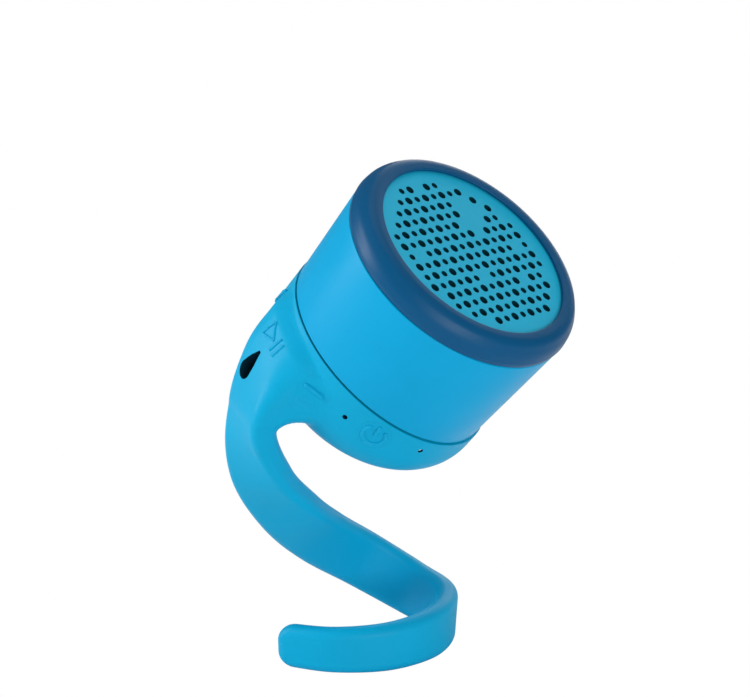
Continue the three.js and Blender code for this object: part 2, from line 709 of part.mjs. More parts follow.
const ground = solid(new THREE.BoxGeometry(400, 400, 50).translate(0, 0, -25));
const bendAt = (i) => rootRun + i * linkLength;
const coreFrom = (i) => bendAt(i) + strapSize(bendAt(i)).thickness / 2 + runGap + 0.8;

function makeTail() {
  for (let i = 0; i < links; i += 1) {
    const [from, to] = [bendAt(i), bendAt(i + 1)];
    const last = i === links - 1;
    const coreTo = last ? to - 7 : to - 1.2;
    let link = cut(solid(strap(from, to)), solid(barrel(from, runGap, false)));
    if (!last) link = join(link, solid(barrel(to, 0, true)));
    link = cut(link, solid(rod(coreRadius + seatGap, from, coreTo + seatGap)), ground);
    place(`tail_link_${i + 1}`, shapeOf(link), look.boot, stand);
    place(`tail_core_${i + 1}`, rod(coreRadius, coreFrom(i), coreTo), look.steel, stand);
  }
}

// ---------------------------------------------------------------- boot
// a teardrop drawn in the y-z plane, round end down, and pushed along x
function teardrop(from, to) {
  const r = slotWidth / 2;
  const shape = new THREE.Shape();
  shape.moveTo(0, slotLength - r).lineTo(-r * 0.92, r * 0.4)
    .absarc(0, 0, r, Math.PI * 0.87, full + Math.PI * 0.13);
  return new THREE.ExtrudeGeometry(shape, { depth: to - from, bevelEnabled: false, curveSegments: 6 })
    .rotateX(Math.PI / 2).rotateZ(Math.PI / 2).translate(from, 0, r - slotLength / 2);
}

function makeBoot() {
  const outer = solid(turned([
    [0, 0], ...quarterRound(bootCorner, cornerCentre, cornerHeight),
    [bootRadius, 3 * seamHeight], [0, 3 * seamHeight],
  ], bigRound));
  const inner = solid(turned([
    [0, bootWall], ...quarterRound(bootCorner - bootWall, cornerCentre, cornerHeight),
    [bootInner, 3 * seamHeight + 1], [0, 3 * seamHeight + 1],
  ], bigRound));
  const root = solid(strap(0, bendAt(0)).applyMatrix4(intoPod));
  const knuckle = solid(barrel(bendAt(0), 0, true).applyMatrix4(intoPod));
  let boot = cut(join(outer, root, knuckle), inner, aboveSeam(-seamWidth / 2));
  boot = cut(boot, solid(roundPod(teardrop(cavityRadius, bootRadius + 14), slotAngle, slotHeight)));
  for (const { angle, radius } of keys) boot = cut(boot, wallHole(radius + runGap, angle, keyHeight));
  for (const angle of [micAngle, lightAngle]) boot = cut(boot, wallHole(pinholeRadius, angle, keyHeight));
  place('boot', shapeOf(boot), look.boot);
}

// ---------------------------------------------------------------- assembly
makeHousing();
makeBezel();
makeGrille();
makeMesh();
makeDriver();
makeElectronics();
makeLeads();
makeKeys();
makeBoot();
makeTail();

const group = new THREE.Group();
group.add(pod, stand);
group.updateMatrixWorld(true);
const box = new THREE.Box3().setFromObject(group, true);
const middle = box.getCenter(new THREE.Vector3());
group.position.set(-middle.x, -middle.y, -box.min.z);

// where the tail bends: a point on each hinge line and its direction
group.userData.bends = [...Array(links).keys()].map((i) => {
  const { centre, across } = tailFrame(bendAt(i));
  return { at: centre.add(group.position).toArray(), axis: across.toArray() };
});

export default group;
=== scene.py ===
"""A shower speaker: a round body in a silicone boot whose tail curls round to make a stand."""
import json
import math

import bmesh
import bpy
import numpy as np
from mathutils import Matrix, Vector


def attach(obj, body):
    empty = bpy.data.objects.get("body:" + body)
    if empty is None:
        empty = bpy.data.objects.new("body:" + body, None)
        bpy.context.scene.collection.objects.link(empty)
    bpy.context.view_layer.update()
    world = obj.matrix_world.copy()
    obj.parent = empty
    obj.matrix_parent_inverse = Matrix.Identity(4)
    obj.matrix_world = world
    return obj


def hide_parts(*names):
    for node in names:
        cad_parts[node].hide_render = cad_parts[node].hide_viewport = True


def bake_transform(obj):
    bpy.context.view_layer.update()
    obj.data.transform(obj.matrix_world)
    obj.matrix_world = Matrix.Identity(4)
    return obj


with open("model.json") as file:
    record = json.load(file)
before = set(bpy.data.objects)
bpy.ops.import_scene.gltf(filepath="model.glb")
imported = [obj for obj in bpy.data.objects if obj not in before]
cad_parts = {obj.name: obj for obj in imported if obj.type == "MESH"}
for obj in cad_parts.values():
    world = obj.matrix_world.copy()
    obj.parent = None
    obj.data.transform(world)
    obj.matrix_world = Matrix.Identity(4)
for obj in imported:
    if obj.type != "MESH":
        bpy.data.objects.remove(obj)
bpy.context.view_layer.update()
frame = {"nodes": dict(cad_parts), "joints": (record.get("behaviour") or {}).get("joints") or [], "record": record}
record = frame["record"]
nodes = frame["nodes"]
joints = {j["name"]: j for j in frame["joints"]}
MM = 0.001
GAP = 0.3                         # between neighbouring pieces, millimetres

# ---------------------------------------------------------------- sizes, millimetres
POD_TILT, POD_HEADING, POD_SPIN = 42.2, -39.9, -103.3
POD_BASE = (-5.4, 6.2, 63.6)
POD_HEIGHT = 56
BOOT_RADIUS, BOOT_WALL, BOOT_CORNER = 30.2, 2, 12
SEAM_HEIGHT, SEAM_TILT, SEAM_WIDTH = 18.8, 8.8, 0.5
SEAM_RADIUS, SHELL_TOP_RADIUS, SHELL_TOP = 29.75, 31.2, 50.4
LEDGE_TOP, LEDGE_RADIUS, LEDGE_DEPTH = 46.5, 25, 3     # the driver's flange sits here
SHELL_INNER, MOUTH_RADIUS, WALL_IN_BOOT = 28.3, 28.9, 1.8
TAPER_FROM = 26                   # the cavity is straight up to here
BEZEL_RADIUS, BEZEL_MOUTH = 31.5, 25.6
GRILLE_RADIUS, GRILLE_THICKNESS = 27.4, 1.6
HOLE_PITCH, BIG_HOLE, SMALL_HOLE, HOLE_FIELD = 3.13, 2.15, 1.65, 23.6
GRID_TURN, GRID_SHIFT = 12.3, (1.8, 1.5)
BARE_PATCH = [(-4, -3), (-3, -3), (-2, -3), (-5, -4), (-4, -4), (-3, -4), (-4, -5), (-3, -5)]
OVER_SUPPORTS = [
    (-7, 3), (-4, 3), (0, 2), (-6, 0), (5, -1), (-3, -2), (-7, -3), (-6, -5), (-5, -6), (-4, -7), (-3, -7),
    (0, -7), (3, -7),
]
KEY_HEIGHT = 15.9
KEYS = {"play": (-8, 4.9), "volume_down": (21, 3.9), "volume_up": (-37, 3.9), "power": (55, 4.3)}
PINHOLE_RADIUS = 0.65
PINHOLES = (39, 80.4)
SLOT_ANGLE, SLOT_HEIGHT, SLOT_LENGTH, SLOT_WIDTH = -8, 6.5, 10, 5
SOCKET_HEIGHT = 8.0
TAIL_ROUTE = [
    ((-17.7, -14, 83.3), (0.4, -0.64, -0.65)),
    ((-25.3, -14.3, 73.6), (0.42, -0.8, -0.45)),
    ((-30.2, -15.9, 63.2), (0.43, -0.88, -0.18)),
    ((-28.3, -11.3, 47.3), (0.83, -0.56, 0.05)),
    ((-21.7, -3.1, 34.7), (0.9, -0.22, 0.37)),
    ((-14, 8, 24.3), (0.74, -0.02, 0.68)),
    ((-3.1, 15.9, 15.2), (0.53, 0.1, 0.84)),
    ((9.7, 13.6, 8.1), (0.35, 0.07, 0.94)),
    ((18, 1.6, 6.85), (0.1, 0, 1)),
    ((15.4, -12.4, 6.4), (0, 0, 1)),
    ((4.5, -22.3, 6), (0, 0, 1)),
    ((-9.7, -24, 5.55), (0, 0, 1)),
    ((-24, -18.9, 5.15), (0, 0, 1)),
]
STRAP_WIDTH, TIP_WIDTH = 19.6, 10.9
STRAP_THICKNESS, TIP_THICKNESS, STRAP_EDGE = 7.2, 5, 2.5
ROOT_NARROWING, ROOT_BLEND = 6, 24
TIP_ROUND = 4.5
ROOT_RUN, LINKS = 35, 6
NECK_CUT = 31.0                   # where the boot's piece ends and the tail's skin starts
FILLET = 16.0                     # how softly the strap grows out of the boot


# ---------------------------------------------------------------- the strap's curve
def catmull_rom(points, t):
    """A centripetal Catmull-Rom curve through the points, at shares t from 0 to 1."""
    p = np.asarray(points, float)
    ends = np.vstack([2 * p[0] - p[1], p, 2 * p[-1] - p[-2]])
    place = np.clip(t, 0, 1) * (len(p) - 1)
    i = np.minimum(place.astype(int), len(p) - 2)
    w = (place - i)[:, None]
    a, b, c, d = (ends[i + k] for k in range(4))
    s0, s1, s2 = (np.sqrt(np.linalg.norm(v - u, axis=1))[:, None] for u, v in ((a, b), (b, c), (c, d)))
    s1 = np.where(s1 < 0.01, 1, s1)
    s0, s2 = np.where(s0 < 0.01, s1, s0), np.where(s2 < 0.01, s1, s2)
    m1 = ((b - a) / s0 - (c - a) / (s0 + s1) + (c - b) / s1) * s1
    m2 = ((c - b) / s1 - (d - b) / (s1 + s2) + (d - c) / s2) * s1
    return b + m1 * w + (-3 * b + 3 * c - 2 * m1 - m2) * w**2 + (2 * b - 2 * c + m1 + m2) * w**3


FINE = np.linspace(0, 1, 4001)
fine_route = catmull_rom([at for at, _ in TAIL_ROUTE], FINE)
fine_run = np.r_[0, np.cumsum(np.linalg.norm(np.diff(fine_route, axis=0), axis=1))]
TAIL_LENGTH = fine_run[-1]
LINK = (TAIL_LENGTH - ROOT_RUN) / LINKS


def unit(v):
    return v / np.linalg.norm(v, axis=-1, keepdims=True)


def strap_frames(run):
    """Centre, direction along, across and through the strap at each run."""
    run = np.atleast_1d(np.asarray(run, float))
    inside = np.clip(run, 0, TAIL_LENGTH)
    t = np.interp(inside, fine_run, FINE)
    step = 0.05
    ahead = np.interp(np.clip(inside + step, 0, TAIL_LENGTH), fine_run, FINE)
    behind = np.interp(np.clip(inside - step, 0, TAIL_LENGTH), fine_run, FINE)
    route = [at for at, _ in TAIL_ROUTE]
    along = unit(catmull_rom(route, ahead) - catmull_rom(route, behind))
    centre = catmull_rom(route, t) + along * (run - inside)[:, None]
    across = catmull_rom([side for _, side in TAIL_ROUTE], t)
    across = unit(across - along * np.sum(across * along, axis=1, keepdims=True))
    return centre + SHIFT, along, across, np.cross(along, across)


def smoothstep(x, low, high):
    t = np.clip((x - low) / (high - low), 0, 1)
    return t * t * (3 - 2 * t)


def strap_size(run):
    share = run / TAIL_LENGTH
    narrowing = ROOT_NARROWING * smoothstep(ROOT_BLEND - run, 0, ROOT_BLEND)

    def drop(size):
        into = np.clip(size - (TAIL_LENGTH - run), 0, size)
        return size - np.sqrt(size * size - into * into)

    width = STRAP_WIDTH + (TIP_WIDTH - STRAP_WIDTH) * share - narrowing - 1.75 * drop(TIP_ROUND)
    thickness = STRAP_THICKNESS + (TIP_THICKNESS - STRAP_THICKNESS) * share - 1.6 * drop(TIP_THICKNESS / 2)
    return width, thickness, np.minimum(STRAP_EDGE, 0.45 * thickness)


# the CAD model stands with its origin under its middle: the first bend shows how far it was moved
SHIFT = np.zeros(3)
SHIFT = np.array(joints["tail_bend_1"]["pos_m"]) / MM - strap_frames(ROOT_RUN)[0][0]
SHIFT[2] = 0

# ---------------------------------------------------------------- the pod's own frame
pod_turn = np.array(
    Matrix.Rotation(math.radians(POD_HEADING), 3, "Z")
    @ Matrix.Rotation(math.radians(POD_TILT), 3, "Y")
    @ Matrix.Rotation(math.radians(POD_SPIN), 3, "Z")
)
pod_origin = np.array(POD_BASE) + SHIFT


def from_pod(points):
    return np.asarray(points, float) @ pod_turn.T + pod_origin


def to_pod(points):
    return (points - pod_origin) @ pod_turn


# ---------------------------------------------------------------- meshes
def make_mesh(name, points, faces, smooth=True):
    """An object from points in millimetres, in the row frame."""
    mesh = bpy.data.meshes.new(name)
    mesh.from_pydata((np.asarray(points) * MM).tolist(), [], faces)
    mesh.update()
    mesh.shade_smooth() if smooth else mesh.shade_flat()
    thing = bpy.data.objects.new(name, mesh)
    bpy.context.scene.collection.objects.link(thing)
    return thing


def vertex_places(mesh):
    """Every vertex's place, in the mesh's own metres."""
    places = np.zeros(len(mesh.vertices) * 3)
    mesh.vertices.foreach_get("co", places)
    return places.reshape(-1, 3)


def face_directions(mesh):
    directions = np.zeros(len(mesh.polygons) * 3)
    mesh.polygons.foreach_get("normal", directions)
    return directions.reshape(-1, 3)


def drop_object(thing):
    mesh = thing.data
    bpy.data.objects.remove(thing)
    bpy.data.meshes.remove(mesh)


def revolve(profile, segments=160):
    """Points and quads of a profile of (radius, height) turned round the pod's axis, in the pod's frame."""
    profile = np.asarray(profile, float)
    angles = np.linspace(0, 2 * math.pi, segments, endpoint=False)
    points, rings = [], []
    for r, z in profile:
        if r < 1e-6:
            rings.append([len(points)] * segments)
            points.append((0, 0, z))
        else:
            rings.append(list(range(len(points), len(points) + segments)))
            points.extend(zip(r * np.cos(angles), r * np.sin(angles), [z] * segments))
    faces = []
    count = len(profile)
    for i in range(count):
        low, high = rings[i], rings[(i + 1) % count]
        for k in range(segments):
            n = (k + 1) % segments
            face = list(dict.fromkeys([low[k], low[n], high[n], high[k]]))
            if len(face) > 2:
                faces.append(face)
    return np.array(points), faces


def rounded(corners, steps=5):
    """A closed outline from (x, y, radius) corners, each turned into an arc."""
    outline = []
    n = len(corners)
    for i in range(n):
        p = np.array(corners[i][:2], float)
        a = np.array(corners[i - 1][:2], float)
        b = np.array(corners[(i + 1) % n][:2], float)
        r = corners[i][2] if len(corners[i]) > 2 else 0
        u, v = unit(a - p), unit(b - p)
        half = math.acos(np.clip(u @ v, -1, 1)) / 2
        if r <= 0 or half > math.pi / 2 - 0.02:
            outline.append(p)
            continue
        reach = min(r / math.tan(half), 0.48 * np.linalg.norm(a - p), 0.48 * np.linalg.norm(b - p))
        r = reach * math.tan(half)
        centre = p + unit(u + v) * (r / math.sin(half))
        start, end = p + u * reach - centre, p + v * reach - centre
        sweep = math.atan2(start[0] * end[1] - start[1] * end[0], start @ end)
        for k in range(steps + 1):
            t = sweep * k / steps
            c, s = math.cos(t), math.sin(t)
            outline.append(centre + (start[0] * c - start[1] * s, start[0] * s + start[1] * c))
    return outline


def fix_outward(thing):
    """Turns every face outward."""
    work = bmesh.new()
    work.from_mesh(thing.data)
    bmesh.ops.recalc_face_normals(work, faces=work.faces)
    work.to_mesh(thing.data)
    work.free()


def turned(name, profile, segments=160):
    """An object made by turning a profile round the pod's axis."""
    points, faces = revolve(profile, segments)
    thing = make_mesh(name, from_pod(points), faces)
    fix_outward(thing)
    return thing


def smooth_by_angle(thing, degrees=35):
    thing.data.shade_smooth()
    with bpy.context.temp_override(object=thing, active_object=thing, selected_editable_objects=[thing]):
        bpy.ops.object.shade_smooth_by_angle(angle=math.radians(degrees), keep_sharp_edges=True)


def applied(thing):
    """The object's modifiers become its mesh."""
    graph = bpy.context.evaluated_depsgraph_get()
    mesh = bpy.data.meshes.new_from_object(thing.evaluated_get(graph))
    old = thing.data
    thing.modifiers.clear()
    thing.data = mesh
    bpy.data.meshes.remove(old)
    return thing


def boolean(thing, tool, operation="DIFFERENCE"):
    """Cuts, joins or keeps what the tool covers, and uses the tool up."""
    step = thing.modifiers.new(operation, "BOOLEAN")
    step.operation = operation
    step.solver = "MANIFOLD"
    step.object = tool
    bpy.context.view_layer.update()
    applied(thing)
    drop_object(tool)
    return thing


def ring_strip(points_per_ring, rings):
    """Quads that join rings of points in turn, and a closing face at each end."""
    faces = []
    for i in range(rings - 1):
        for k in range(points_per_ring):
            n = (k + 1) % points_per_ring
            a, b = i * points_per_ring, (i + 1) * points_per_ring
            faces.append((a + k, a + n, b + n, b + k))
    faces.append(tuple(range(points_per_ring))[::-1])
    faces.append(tuple(range((rings - 1) * points_per_ring, rings * points_per_ring)))
    return faces


def strap_section(steps=7):
    """The strap's outline as (side, side, cos, sin) of its four rounded edges."""
    outline = []
    for sx, sy, start in ((1, 1, 0), (-1, 1, 90), (-1, -1, 180), (1, -1, 270)):
        for k in range(steps + 1):
            a = math.radians(start + 90 * k / steps)
            outline.append((sx, sy, math.cos(a), math.sin(a)))
    return outline


def strap_points(runs, steps=7):
    """Rings of points and their outward normals along the strap."""
    centre, _, across, face = strap_frames(runs)
    width, thickness, edge = strap_size(runs)
    section = strap_section(steps)
    points, normals = [], []
    for k in range(len(runs)):
        for sx, sy, c, s in section:
            x = sx * (width[k] / 2 - edge[k]) + edge[k] * c
            y = sy * (thickness[k] / 2 - edge[k]) + edge[k] * s
            points.append(centre[k] + across[k] * x + face[k] * y)
            normals.append(across[k] * c + face[k] * s)
    return np.array(points), np.array(normals), len(section)


def strap_mesh(name, runs, steps=7):
    points, normals, per_ring = strap_points(runs, steps)
    thing = make_mesh(name, points, ring_strip(per_ring, len(runs)))
    fix_outward(thing)
    return thing, normals


def set_normals(thing, normals, own=None):
    """Smooth normals at the given points, and flat faces where own says so."""
    mesh = thing.data
    loops = np.zeros(len(mesh.loops), int)
    mesh.loops.foreach_get("vertex_index", loops)
    corner = normals[loops]
    if own is not None:
        totals = np.zeros(len(mesh.polygons), int)
        mesh.polygons.foreach_get("loop_total", totals)
        flat = np.repeat(face_directions(mesh), totals, axis=0)
        flat_corner = np.repeat(own, totals)
        corner[flat_corner] = flat[flat_corner]
    mesh.normals_split_custom_set(corner.tolist())


# ---------------------------------------------------------------- the skin as a distance
STATIONS = np.arange(-1, 61, 0.4)
station_frames = strap_frames(STATIONS)
ROOT_MIDDLE = strap_frames(14)[0][0]
NECK_MIDDLE, NECK_ALONG = (v[0] for v in strap_frames(NECK_CUT)[:2])


def boot_distance(local):
    """Distance from points in the pod's frame to the boot's outside, which goes on upward for ever."""
    radius = np.hypot(local[:, 0], local[:, 1])
    out = radius - (BOOT_RADIUS - BOOT_CORNER)
    down = BOOT_CORNER - local[:, 2]
    corner = np.hypot(np.maximum(out, 0), np.maximum(down, 0))
    return corner + np.minimum(np.maximum(out, down), 0) - BOOT_CORNER


def strap_distance(points):
    """Distance to the strap's surface and the run of the nearest station."""
    centre, along, across, face = station_frames
    nearest = np.zeros(len(points), int)
    for start in range(0, len(points), 20000):
        part = points[start:start + 20000]
        d = (part**2).sum(1)[:, None] - 2 * part @ centre.T + (centre**2).sum(1)[None]
        nearest[start:start + 20000] = d.argmin(1)
    spacing = STATIONS[1] - STATIONS[0]
    past = ((points - centre[nearest]) * along[nearest]).sum(1) / spacing
    past = np.clip(past, -0.5, 0.5)
    other = np.clip(nearest + np.where(past > 0, 1, -1), 0, len(STATIONS) - 1)
    mix = np.abs(past)[:, None]
    middle = centre[nearest] * (1 - mix) + centre[other] * mix
    side = unit(across[nearest] * (1 - mix) + across[other] * mix)
    out = unit(face[nearest] * (1 - mix) + face[other] * mix)
    run = STATIONS[nearest] + past * spacing
    width, thickness, edge = strap_size(run)
    gap = points - middle
    x = np.abs((gap * side).sum(1)) - (width / 2 - edge)
    y = np.abs((gap * out).sum(1)) - (thickness / 2 - edge)
    inside = np.hypot(np.maximum(x, 0), np.maximum(y, 0)) + np.minimum(np.maximum(x, y), 0) - edge
    return inside, run


def skin_distance(points):
    """Distance to the boot and strap with a soft hollow where one grows out of the other."""
    local = to_pod(points)
    boot = boot_distance(local)
    strap, _ = strap_distance(points)
    from_root = np.linalg.norm(points - ROOT_MIDDLE, axis=1)
    before_neck = (NECK_MIDDLE - points) @ NECK_ALONG
    soft = FILLET * (1 - 0.7 * smoothstep(from_root, 10, 34)) * smoothstep(before_neck, 0.5, 10)
    soft = soft * smoothstep(-above_seam(local), -1, 6) + 0.05
    near = np.maximum(soft - np.abs(boot - strap), 0) / soft
    return np.minimum(boot, strap) - near**2 * soft / 4


def skin_slope(points):
    """How the distance changes along x, y and z."""
    step = 0.04
    slope = [
        (skin_distance(points + step * axis) - skin_distance(points - step * axis)) / (2 * step)
        for axis in np.eye(3)
    ]
    return np.stack(slope, 1)


def onto_skin(points, times):
    """Moves points along the skin's slope until they lie on it."""
    for _ in range(times):
        slope = skin_slope(points)
        size = (slope**2).sum(1)
        move = np.clip(skin_distance(points) / np.maximum(size, 0.2), -0.7, 0.7)
        points = points - slope * move[:, None]
    return points


def out_to_skin(points, directions, times=8):
    """Moves points straight along their directions until they lie on the skin."""
    for _ in range(times):
        rate = (skin_slope(points) * directions).sum(1)
        move = np.clip(skin_distance(points) / np.maximum(rate, 0.35), -1, 1)
        points = points - directions * move[:, None]
    return points


def pod_radial(angle, height):
    """A matrix in metres: x leaves the pod at that angle and height, y runs round it, z up it."""
    turn = np.array(Matrix.Rotation(math.radians(angle), 3, "Z"))
    basis = pod_turn @ turn
    matrix = Matrix.Identity(4)
    for i in range(3):
        for j in range(3):
            matrix[i][j] = basis[i][j]
    place = pod_origin + pod_turn @ np.array([0, 0, height])
    matrix.translation = Vector(place * MM)
    return matrix


def radial_prism(outline, angle, height, start, end):
    """A prism of an outline in the pod's (round, up) directions, from one radius to another."""
    matrix = np.array(pod_radial(angle, height))
    n = len(outline)
    flat = np.array([(r, u, v) for r in (start, end) for u, v in outline], float)
    points = flat @ matrix[:3, :3].T + matrix[:3, 3] / MM
    faces = [tuple(range(n)), tuple(range(n, 2 * n))]
    faces += [(k, (k + 1) % n, n + (k + 1) % n, n + k) for k in range(n)]
    thing = make_mesh("tool", points, faces)
    fix_outward(thing)
    return thing


def circle(radius, count=40):
    turns = np.linspace(0, 2 * math.pi, count, endpoint=False)
    return [(radius * math.cos(a), radius * math.sin(a)) for a in turns]


def teardrop():
    """The charging slot's outline, round end down."""
    r = SLOT_WIDTH / 2
    top = SLOT_LENGTH - SLOT_WIDTH / 2
    shift = SLOT_WIDTH / 2 - SLOT_LENGTH / 2
    turns = np.linspace(math.radians(157), math.radians(383), 22)
    arc = [(r * math.cos(a), r * math.sin(a)) for a in turns]
    side = [(0.62 * r, 0.52 * top), (0.3 * r, 0.8 * top)]
    tip = [(0.12 * r, 0.96 * top), (0, top), (-0.12 * r, 0.96 * top)]
    return [(x, y + shift) for x, y in arc + side + tip + [(-x, y) for x, y in side[::-1]]]


def above_seam_tool(offset):
    """A solid that holds everything above the boot's slanted rim."""
    size = 60.0
    square = ((-size, -size), (size, -size), (size, size), (-size, size))
    corners = [(x, y, z) for z in (0, size) for x, y in square]
    tilt = np.array(Matrix.Rotation(-math.radians(SEAM_TILT), 3, "Y"))
    points = np.array(corners) @ tilt.T + (0, 0, SEAM_HEIGHT + offset)
    faces = [(3, 2, 1, 0), (4, 5, 6, 7), (0, 1, 5, 4), (1, 2, 6, 5), (2, 3, 7, 6), (3, 0, 4, 7)]
    return make_mesh("tool", from_pod(points), faces, smooth=False)


def above_seam(local):
    """How far a point in the pod's frame lies above the boot's rim line."""
    lean = math.radians(SEAM_TILT)
    return (local[..., 2] - SEAM_HEIGHT) * math.cos(lean) - local[..., 0] * math.sin(lean)


def boot_profile(radius, corner, base, top, steps=14):
    """Half the outline of a cup whose rounded corner shares the boot's centre."""
    middle = BOOT_RADIUS - BOOT_CORNER
    arc = [(middle + corner * math.sin(a), BOOT_CORNER - corner * math.cos(a))
           for a in np.linspace(0, math.pi / 2, steps)]
    return [(0, base)] + arc + [(radius, top), (0, top)]


def skin_solid():
    """The boot and the root of the tail as one soft closed mesh, before anything is cut from it."""
    top = 30.0
    body = turned("boot", boot_profile(BOOT_RADIUS, BOOT_CORNER, 0, top), 96)
    root, _ = strap_mesh("root", np.arange(0, NECK_CUT + 6, 1.0), 4)
    boolean(body, root, "UNION")
    remesh = body.modifiers.new("even", "REMESH")
    remesh.mode = "VOXEL"
    remesh.voxel_size = 0.62 * MM
    applied(body)
    mesh = body.data
    points = vertex_places(mesh) / MM
    edges = np.zeros(len(mesh.edges) * 2, int)
    mesh.edges.foreach_get("vertices", edges)
    edges = edges.reshape(-1, 2)
    degree = np.bincount(edges.ravel(), minlength=len(points))[:, None]
    strap, run = strap_distance(points)
    free = (to_pod(points)[:, 2] < top - 1.5) & ~((run > NECK_CUT + 3.5) & (strap < 1.5))
    for round_number in range(9):
        mean = np.zeros_like(points)
        np.add.at(mean, edges[:, 0], points[edges[:, 1]])
        np.add.at(mean, edges[:, 1], points[edges[:, 0]])
        mean /= degree
        relaxed = points + 0.5 * (mean - points) if round_number < 6 else points
        points[free] = onto_skin(relaxed[free], 3)
    mesh.vertices.foreach_set("co", (points * MM).ravel())
    mesh.update()
    return body


def shade_skin(thing):
    """Normals from the skin's own shape on its outside, plain ones on cut walls; cut walls below the rim also get
    painted shade.
    """
    mesh = thing.data
    mesh.shade_smooth()
    points = vertex_places(mesh) / MM
    normals = unit(skin_slope(points))
    off = np.abs(skin_distance(points)) > 0.15
    face_normals = face_directions(mesh)
    own = np.zeros(len(mesh.polygons), bool)
    for polygon in mesh.polygons:
        around = list(polygon.vertices)
        if off[around].any() or (normals[around] @ face_normals[polygon.index]).min() < 0.75:
            own[polygon.index] = True
            # cut walls below the rim, in holes and inside the boot, take the painted shade material
            if above_seam(to_pod(points[around].mean(0))) < -SEAM_WIDTH:
                polygon.material_index = 1
    set_normals(thing, normals, own)


def bead(path, width, height, key_angle, key_height, name):
    """A raised rounded line on the skin; the path runs round and up from the key's centre."""
    path = np.asarray(path, float)
    matrix = np.array(pod_radial(key_angle, key_height))
    angle = path[:, 0] / BOOT_RADIUS
    flat = np.stack([BOOT_RADIUS * np.cos(angle), BOOT_RADIUS * np.sin(angle), path[:, 1]], 1)
    outward = np.stack([np.cos(angle), np.sin(angle), 0 * angle], 1) @ matrix[:3, :3].T
    base = out_to_skin(flat @ matrix[:3, :3].T + matrix[:3, 3] / MM, outward)
    up = unit(skin_slope(base))
    along = unit(np.gradient(base, axis=0))
    side = unit(np.cross(up, along))
    run = np.r_[0, np.cumsum(np.linalg.norm(np.diff(base, axis=0), axis=1))]
    half = width / 2
    points = []
    section = [(math.cos(a), math.sin(a)) for a in np.linspace(-0.35, math.pi + 0.35, 12)]
    for i, at in enumerate(base):
        near_end = min(run[i], run[-1] - run[i])
        share = math.sqrt(max(0.0, 1 - (1 - min(near_end / half, 1)) ** 2))
        share = max(share, 0.04)
        for c, s in section:
            rise = height * s * (0.35 + 0.65 * share) - 0.06
            points.append(at + side[i] * half * c * share + up[i] * rise)
    return make_mesh(name, points, ring_strip(len(section), len(base)))


def resample(path, spacing=0.25):
    """The same path with evenly spaced points."""
    path = np.asarray(path, float)
    run = np.r_[0, np.cumsum(np.linalg.norm(np.diff(path, axis=0), axis=1))]
    at = np.linspace(0, run[-1], max(4, int(run[-1] / spacing)))
    return np.stack([np.interp(at, run, path[:, k]) for k in range(2)], 1)


def joined(things, name):
    work = bmesh.new()
    for thing in things:
        work.from_mesh(thing.data)
    mesh = bpy.data.meshes.new(name)
    work.to_mesh(mesh)
    work.free()
    for thing in things:
        drop_object(thing)
    result = bpy.data.objects.new(name, mesh)
    bpy.context.scene.collection.objects.link(result)
    return result


# ---------------------------------------------------------------- materials
def node_group(name, inputs, outputs):
    group = bpy.data.node_groups.new(name, "ShaderNodeTree")
    for label, kind, default in inputs:
        socket = group.interface.new_socket(label, in_out="INPUT", socket_type=kind)
        if default is not None:
            socket.default_value = default
    for label, kind in outputs:
        group.interface.new_socket(label, in_out="OUTPUT", socket_type=kind)
    return group, group.nodes.new("NodeGroupInput"), group.nodes.new("NodeGroupOutput")


def add(tree, kind, **settings):
    made = tree.nodes.new(kind)
    for key, value in settings.items():
        if key in made.inputs:
            made.inputs[key].default_value = value
        else:
            setattr(made, key.lower().replace(" ", "_"), value)
    return made


def moulded_group():
    """Colour, roughness and normal of a moulded skin: faint mottling, fine grain and handling marks."""
    group, given, result = node_group(
        "moulded",
        [("Colour", "NodeSocketColor", (0.8, 0.8, 0.8, 1)), ("Roughness", "NodeSocketFloat", 0.5),
         ("Grain", "NodeSocketFloat", 0.1), ("Grain size", "NodeSocketFloat", 3000.0),
         ("Mottle", "NodeSocketFloat", 0.05), ("Marks", "NodeSocketFloat", 0.05)],
        [("Colour", "NodeSocketColor"), ("Roughness", "NodeSocketFloat"), ("Normal", "NodeSocketVector")],
    )
    link = group.links.new
    where = group.nodes.new("ShaderNodeTexCoord")
    broad = add(group, "ShaderNodeTexNoise", Scale=38.0, Detail=3.0, Roughness=0.55)
    fine = add(group, "ShaderNodeTexNoise", Detail=2.0, Roughness=0.6)
    smear = add(group, "ShaderNodeTexNoise", Scale=130.0, Detail=4.0, Roughness=0.65)
    for texture in (broad, fine, smear):
        link(where.outputs["Object"], texture.inputs["Vector"])
    link(given.outputs["Grain size"], fine.inputs["Scale"])

    def ranged(source, low, high, amount, base):
        mapped = add(group, "ShaderNodeMapRange")
        mapped.inputs["From Min"].default_value = low
        mapped.inputs["From Max"].default_value = high
        mapped.inputs["To Min"].default_value = -1.0
        mapped.inputs["To Max"].default_value = 1.0
        link(source, mapped.inputs["Value"])
        scaled = add(group, "ShaderNodeMath", operation="MULTIPLY_ADD")
        link(mapped.outputs["Result"], scaled.inputs[0])
        link(amount, scaled.inputs[1])
        if base is None:
            scaled.inputs[2].default_value = 1.0
        else:
            link(base, scaled.inputs[2])
        return scaled.outputs["Value"]

    tint = ranged(broad.outputs["Fac"], 0.3, 0.7, given.outputs["Mottle"], None)
    shade = add(group, "ShaderNodeVectorMath", operation="SCALE")
    link(given.outputs["Colour"], shade.inputs[0])
    link(tint, shade.inputs["Scale"])
    link(shade.outputs["Vector"], result.inputs["Colour"])
    link(ranged(smear.outputs["Fac"], 0.3, 0.7, given.outputs["Marks"], given.outputs["Roughness"]),
         result.inputs["Roughness"])
    bump = add(group, "ShaderNodeBump", Distance=0.00006)
    link(given.outputs["Grain"], bump.inputs["Strength"])
    link(fine.outputs["Fac"], bump.inputs["Height"])
    link(bump.outputs["Normal"], result.inputs["Normal"])
    return group


MOULDED = moulded_group()


